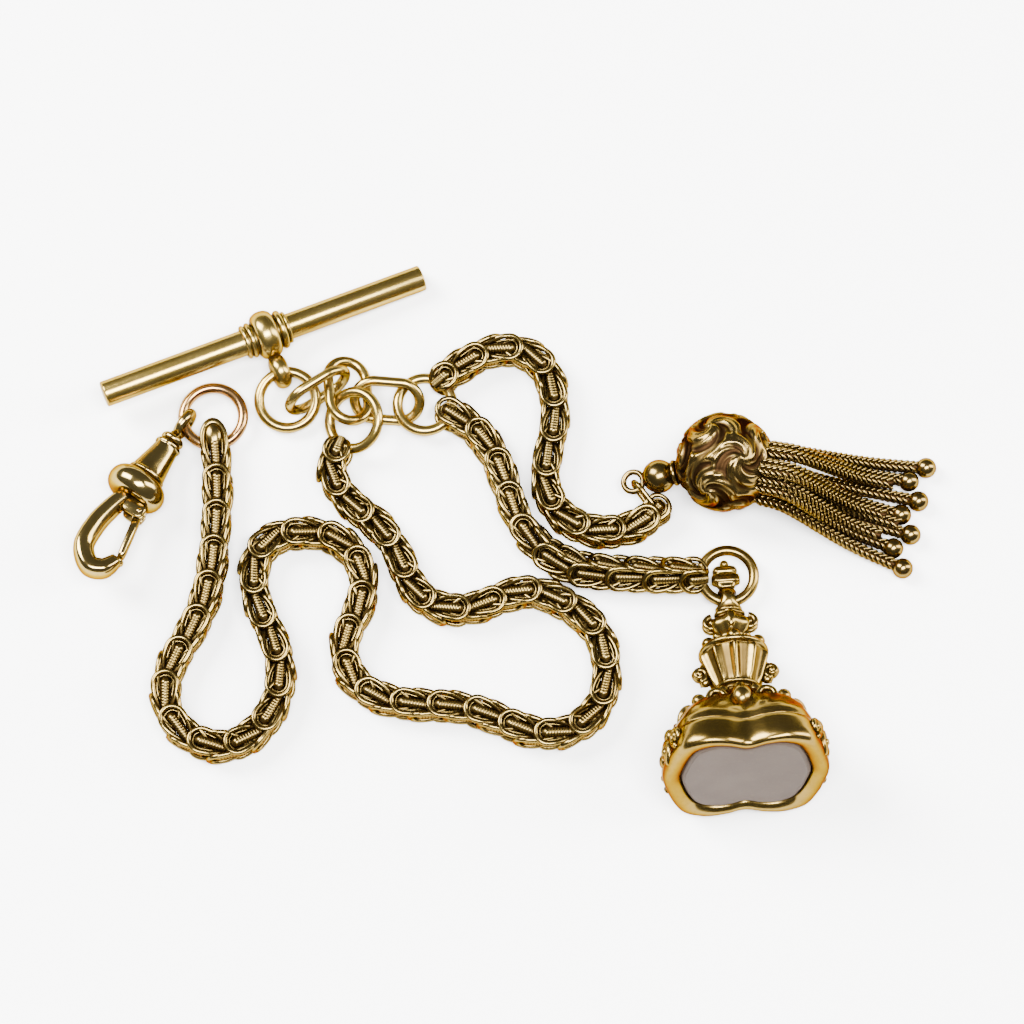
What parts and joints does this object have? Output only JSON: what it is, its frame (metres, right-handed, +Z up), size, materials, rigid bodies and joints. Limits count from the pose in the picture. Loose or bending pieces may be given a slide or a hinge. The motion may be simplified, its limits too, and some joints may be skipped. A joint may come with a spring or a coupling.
{
  "type": "pocket watch chain",
  "caption": "Victorian gold pocket watch chain with T-bar, swivel dog clip, fancy-link chain, tassel fob and stone-set seal fob, as it lies on a table.",
  "frame": {"origin": "on the table, under the middle of the laid-out chain's outline", "axes": "+Z up off the table, +Y towards the T-bar, +X towards the tassel fob"},
  "size_m": [0.0816, 0.0538, 0.0143],
  "materials": {
    "bright_gold": "polished",
    "rose_gold": "polished",
    "clip_gold": "polished",
    "chain_gold": "polished, toned in the recesses",
    "tassel_gold": "polished, toned in the recesses",
    "seal_gold": "polished",
    "spring_steel": "satin",
    "chalcedony": "polished"
  },
  "bodies": {
    "t_bar": {"t_bar": "bright_gold", "bar_collars_left": "bright_gold", "bar_collars_right": "bright_gold"},
    "bail": {"t_bar_bail": "bright_gold"},
    "bail_ring": {"bail_ring": "bright_gold"},
    "oval_link_upper": {"oval_link_upper": "bright_gold"},
    "oval_link_middle": {"oval_link_middle": "bright_gold"},
    "oval_link_lower": {"oval_link_lower": "bright_gold"},
    "drop_ring": {"drop_ring": "bright_gold"},
    "long_chain_ring": {"long_chain_ring": "bright_gold"},
    "long_chain_01": {"long_chain_01": "chain_gold"},
    "long_chain_02": {"long_chain_02": "chain_gold"},
    "long_chain_03": {"long_chain_03": "chain_gold"},
    "long_chain_04": {"long_chain_04": "chain_gold"},
    "long_chain_05": {"long_chain_05": "chain_gold"},
    "long_chain_06": {"long_chain_06": "chain_gold"},
    "long_chain_07": {"long_chain_07": "chain_gold"},
    "long_chain_08": {"long_chain_08": "chain_gold"},
    "long_chain_09": {"long_chain_09": "chain_gold"},
    "long_chain_10": {"long_chain_10": "chain_gold"},
    "long_chain_11": {"long_chain_11": "chain_gold"},
    "long_chain_12": {"long_chain_12": "chain_gold"},
    "long_chain_13": {"long_chain_13": "chain_gold"},
    "long_chain_14": {"long_chain_14": "chain_gold"},
    "tassel_chain_01": {"tassel_chain_01": "chain_gold"},
    "tassel_chain_02": {"tassel_chain_02": "chain_gold"},
    "tassel_chain_03": {"tassel_chain_03": "chain_gold"},
    "tassel_chain_04": {"tassel_chain_04": "chain_gold"},
    "seal_chain_01": {"seal_chain_01": "chain_gold"},
    "seal_chain_02": {"seal_chain_02": "chain_gold"},
    "seal_chain_03": {"seal_chain_03": "chain_gold"},
    "clip_ring": {"clip_ring": "rose_gold"},
    "clip_swivel": {"clip_swivel_eye": "clip_gold", "clip_bead": "clip_gold"},
    "dog_clip": {"clip_barrel": "clip_gold", "clip_collar": "clip_gold", "clip_hook": "clip_gold", "clip_gate_pin": "clip_gold", "clip_gate_spring": "spring_steel"},
    "clip_gate": {"clip_gate": "clip_gold"},
    "tassel_link": {"tassel_link": "tassel_gold"},
    "tassel_fob": {"tassel_cap": "tassel_gold", "tassel_collar": "tassel_gold", "tassel_ball": "tassel_gold"},
    "tassel_strand_1": {"tassel_strand_1": "tassel_gold"},
    "tassel_strand_2": {"tassel_strand_2": "tassel_gold"},
    "tassel_strand_3": {"tassel_strand_3": "tassel_gold"},
    "tassel_strand_4": {"tassel_strand_4": "tassel_gold"},
    "tassel_strand_5": {"tassel_strand_5": "tassel_gold"},
    "tassel_strand_6": {"tassel_strand_6": "tassel_gold"},
    "tassel_strand_7": {"tassel_strand_7": "tassel_gold"},
    "seal_ring": {"seal_ring": "seal_gold"},
    "seal_fob": {"seal_loop": "seal_gold", "seal_urn": "seal_gold", "seal_vase": "seal_gold", "seal_dome": "seal_gold", "seal_rim": "seal_gold", "seal_stone": "chalcedony"}
  },
  "joints": [
    {"name": "bail_turn", "type": "hinge", "parent": "t_bar", "child": "bail", "pos_m": [-0.02304, 0.0197, 0.00242], "axis": [0.9223, 0.3801, -0.0698], "continuous": true},
    {"name": "bail_ring_swing", "type": "hinge", "parent": "bail", "child": "bail_ring", "pos_m": [-0.02094, 0.01622, 0.00182], "axis": [1, 0, 0], "range_deg": [-10, 12]},
    {"name": "upper_link_swing", "type": "hinge", "parent": "bail_ring", "child": "oval_link_upper", "pos_m": [-0.0203, 0.01277, 0.00234], "axis": [0.5446, -0.8387, 0], "range_deg": [-10, 4]},
    {"name": "middle_link_swing", "type": "hinge", "parent": "oval_link_upper", "child": "oval_link_middle", "pos_m": [-0.01691, 0.01408, 0.0029], "axis": [0.1145, -0.9847, 0.1313], "range_deg": [-12, 12]},
    {"name": "lower_link_swing", "type": "hinge", "parent": "oval_link_middle", "child": "oval_link_lower", "pos_m": [-0.01453, 0.01361, 0.00178], "axis": [-0.0872, -0.816, -0.5714], "range_deg": [-12, 12]},
    {"name": "drop_ring_swing", "type": "hinge", "parent": "oval_link_lower", "child": "drop_ring", "pos_m": [-0.01044, 0.01304, 0.00152], "axis": [0, -1, 0], "range_deg": [-12, 15]},
    {"name": "long_ring_swing", "type": "hinge", "parent": "oval_link_middle", "child": "long_chain_ring", "pos_m": [-0.01454, 0.01114, 0.00272], "axis": [-1, 0, 0], "range_deg": [-8, 3]},
    {"name": "long_chain_01_bend", "type": "hinge", "parent": "long_chain_ring", "child": "long_chain_01", "pos_m": [-0.01587, 0.00907, 0.00147], "axis": [-0.9411, 0.3381, 0], "range_deg": [-20, 20]},
    {"name": "long_chain_02_bend", "type": "hinge", "parent": "long_chain_01", "child": "long_chain_02", "pos_m": [-0.0122, 0.00103, 0.00147], "axis": [0.7037, 0.7105, 0], "range_deg": [-20, 20]},
    {"name": "long_chain_03_bend", "type": "hinge", "parent": "long_chain_02", "child": "long_chain_03", "pos_m": [-0.00602, -0.00683, 0.00147], "axis": [-0.2612, -0.9653, 0], "range_deg": [-20, 20]},
    {"name": "long_chain_04_bend", "type": "hinge", "parent": "long_chain_03", "child": "long_chain_04", "pos_m": [0.00401, -0.00589, 0.00147], "axis": [0.3797, 0.9251, 0], "range_deg": [-20, 20]},
    {"name": "long_chain_05_bend", "type": "hinge", "parent": "long_chain_04", "child": "long_chain_05", "pos_m": [0.00923, -0.01388, 0.00147], "axis": [-0.995, 0.1002, 0], "range_deg": [-20, 20]},
    {"name": "long_chain_06_bend", "type": "hinge", "parent": "long_chain_05", "child": "long_chain_06", "pos_m": [0.00171, -0.01856, 0.00147], "axis": [-0.2981, -0.9545, 0], "range_deg": [-20, 20]},
    {"name": "long_chain_07_bend", "type": "hinge", "parent": "long_chain_06", "child": "long_chain_07", "pos_m": [-0.00832, -0.0162, 0.00147], "axis": [0.0749, 0.9972, 0], "range_deg": [-20, 20]},
    {"name": "long_chain_08_bend", "type": "hinge", "parent": "long_chain_07", "child": "long_chain_08", "pos_m": [-0.01512, -0.01025, 0.00147], "axis": [-0.9865, 0.1636, 0], "range_deg": [-20, 20]},
    {"name": "long_chain_09_bend", "type": "hinge", "parent": "long_chain_08", "child": "long_chain_09", "pos_m": [-0.01701, 0, 0.00147], "axis": [0.2962, 0.9551, 0], "range_deg": [-20, 20]},
    {"name": "long_chain_10_bend", "type": "hinge", "parent": "long_chain_09", "child": "long_chain_10", "pos_m": [-0.02373, -0.00486, 0.00147], "axis": [0.9922, 0.1248, 0], "range_deg": [-20, 20]},
    {"name": "long_chain_11_bend", "type": "hinge", "parent": "long_chain_10", "child": "long_chain_11", "pos_m": [-0.0214, -0.0148, 0.00147], "axis": [-0.9826, 0.1856, 0], "range_deg": [-20, 20]},
    {"name": "long_chain_12_bend", "type": "hinge", "parent": "long_chain_11", "child": "long_chain_12", "pos_m": [-0.02883, -0.01959, 0.00147], "axis": [-0.4265, -0.9045, 0], "range_deg": [-20, 20]},
    {"name": "long_chain_13_bend", "type": "hinge", "parent": "long_chain_12", "child": "long_chain_13", "pos_m": [-0.03058, -0.01074, 0.00147], "axis": [0.8765, -0.4814, 0], "range_deg": [-20, 20]},
    {"name": "long_chain_14_bend", "type": "hinge", "parent": "long_chain_13", "child": "long_chain_14", "pos_m": [-0.02766, -0.00088, 0.00147], "axis": [-0.9969, 0.0784, 0], "range_deg": [-20, 20]},
    {"name": "tassel_chain_01_bend", "type": "hinge", "parent": "drop_ring", "child": "tassel_chain_01", "pos_m": [-0.00662, 0.01523, 0.00147], "axis": [0.6023, -0.7982, 0], "range_deg": [-20, 20]},
    {"name": "tassel_chain_02_bend", "type": "hinge", "parent": "tassel_chain_01", "child": "tassel_chain_02", "pos_m": [0.00217, 0.01775, 0.00147], "axis": [0.5115, 0.8593, 0], "range_deg": [-20, 20]},
    {"name": "tassel_chain_03_bend", "type": "hinge", "parent": "tassel_chain_02", "child": "tassel_chain_03", "pos_m": [0.00427, 0.00995, 0.00147], "axis": [-0.9815, 0.1912, 0], "range_deg": [-20, 20]},
    {"name": "tassel_chain_04_bend", "type": "hinge", "parent": "tassel_chain_03", "child": "tassel_chain_04", "pos_m": [0.00551, 0.00196, 0.00147], "axis": [0.6466, 0.7628, 0], "range_deg": [-20, 20]},
    {"name": "seal_chain_01_bend", "type": "hinge", "parent": "drop_ring", "child": "seal_chain_01", "pos_m": [-0.00544, 0.01212, 0.00147], "axis": [-0.5212, -0.8535, 0], "range_deg": [-20, 20]},
    {"name": "seal_chain_02_bend", "type": "hinge", "parent": "seal_chain_01", "child": "seal_chain_02", "pos_m": [0.00013, 0.00435, 0.00147], "axis": [0.9527, 0.3039, 0], "range_deg": [-20, 20]},
    {"name": "seal_chain_03_bend", "type": "hinge", "parent": "seal_chain_02", "child": "seal_chain_03", "pos_m": [0.00842, -0.00341, 0.00147], "axis": [-0.1143, -0.9934, 0], "range_deg": [-20, 20]},
    {"name": "clip_ring_swing", "type": "hinge", "parent": "long_chain_14", "child": "clip_ring", "pos_m": [-0.02799, 0.00899, 0.00152], "axis": [1, 0, 0], "range_deg": [-20, 25]},
    {"name": "clip_swing", "type": "hinge", "parent": "clip_ring", "child": "clip_swivel", "pos_m": [-0.03069, 0.01104, 0.00167], "axis": [-0.8387, 0.5445, 0], "range_deg": [-12, 12]},
    {"name": "clip_swivel_turn", "type": "hinge", "parent": "clip_swivel", "child": "dog_clip", "pos_m": [-0.03069, 0.01104, 0.00167], "axis": [-0.5375, -0.8278, 0.1606], "continuous": true},
    {"name": "gate_open", "type": "hinge", "parent": "dog_clip", "child": "clip_gate", "pos_m": [-0.03467, 0.00169, 0.0033], "axis": [-0.0875, -0.1347, -0.987], "range_deg": [0, 20], "stiffness_Nm_per_rad": 0.0002, "springref_deg": -17.19},
    {"name": "tassel_link_swing", "type": "hinge", "parent": "tassel_chain_04", "child": "tassel_link", "pos_m": [0.01406, 0.00254, 0.00147], "axis": [0.786, 0.6183, 0], "range_deg": [-12, 12]},
    {"name": "tassel_swing", "type": "hinge", "parent": "tassel_link", "child": "tassel_fob", "pos_m": [0.01194, 0.00524, 0.00212], "axis": [-0.2895, -0.0407, 0.9563], "range_deg": [-10, 10]},
    {"name": "strand_1_swing", "type": "hinge", "parent": "tassel_fob", "child": "tassel_strand_1", "pos_m": [0.02412, 0.00293, 0.00419], "axis": [-0.2419, -0.9703, 0], "range_deg": [-4, 2]},
    {"name": "strand_2_swing", "type": "hinge", "parent": "tassel_fob", "child": "tassel_strand_2", "pos_m": [0.02424, 0.00342, 0.00639], "axis": [-0.2419, -0.9703, 0], "range_deg": [-1, 25]},
    {"name": "strand_3_swing", "type": "hinge", "parent": "tassel_fob", "child": "tassel_strand_3", "pos_m": [0.02446, 0.00429, 0.00243], "axis": [-0.2419, -0.9703, 0], "range_deg": [-4, 10]},
    {"name": "strand_4_swing", "type": "hinge", "parent": "tassel_fob", "child": "tassel_strand_4", "pos_m": [0.02473, 0.00539, 0.00737], "axis": [-0.2419, -0.9703, 0], "range_deg": [-4, 25]},
    {"name": "strand_5_swing", "type": "hinge", "parent": "tassel_fob", "child": "tassel_strand_5", "pos_m": [0.025, 0.00648, 0.00243], "axis": [-0.2419, -0.9703, 0], "range_deg": [-4, 10]},
    {"name": "strand_6_swing", "type": "hinge", "parent": "tassel_fob", "child": "tassel_strand_6", "pos_m": [0.02522, 0.00736, 0.00639], "axis": [-0.2419, -0.9703, 0], "range_deg": [-1, 25]},
    {"name": "strand_7_swing", "type": "hinge", "parent": "tassel_fob", "child": "tassel_strand_7", "pos_m": [0.02535, 0.00785, 0.00419], "axis": [-0.2419, -0.9703, 0], "range_deg": [-4, 2]},
    {"name": "seal_ring_swing", "type": "hinge", "parent": "seal_chain_03", "child": "seal_ring", "pos_m": [0.01826, -0.00381, 0.00147], "axis": [0, -1, 0], "range_deg": [-15, 20]},
    {"name": "seal_swing", "type": "hinge", "parent": "seal_ring", "child": "seal_fob", "pos_m": [0.02076, -0.00631, 0.00147], "axis": [-1, 0, 0], "range_deg": [-15, 30]}
  ]
}
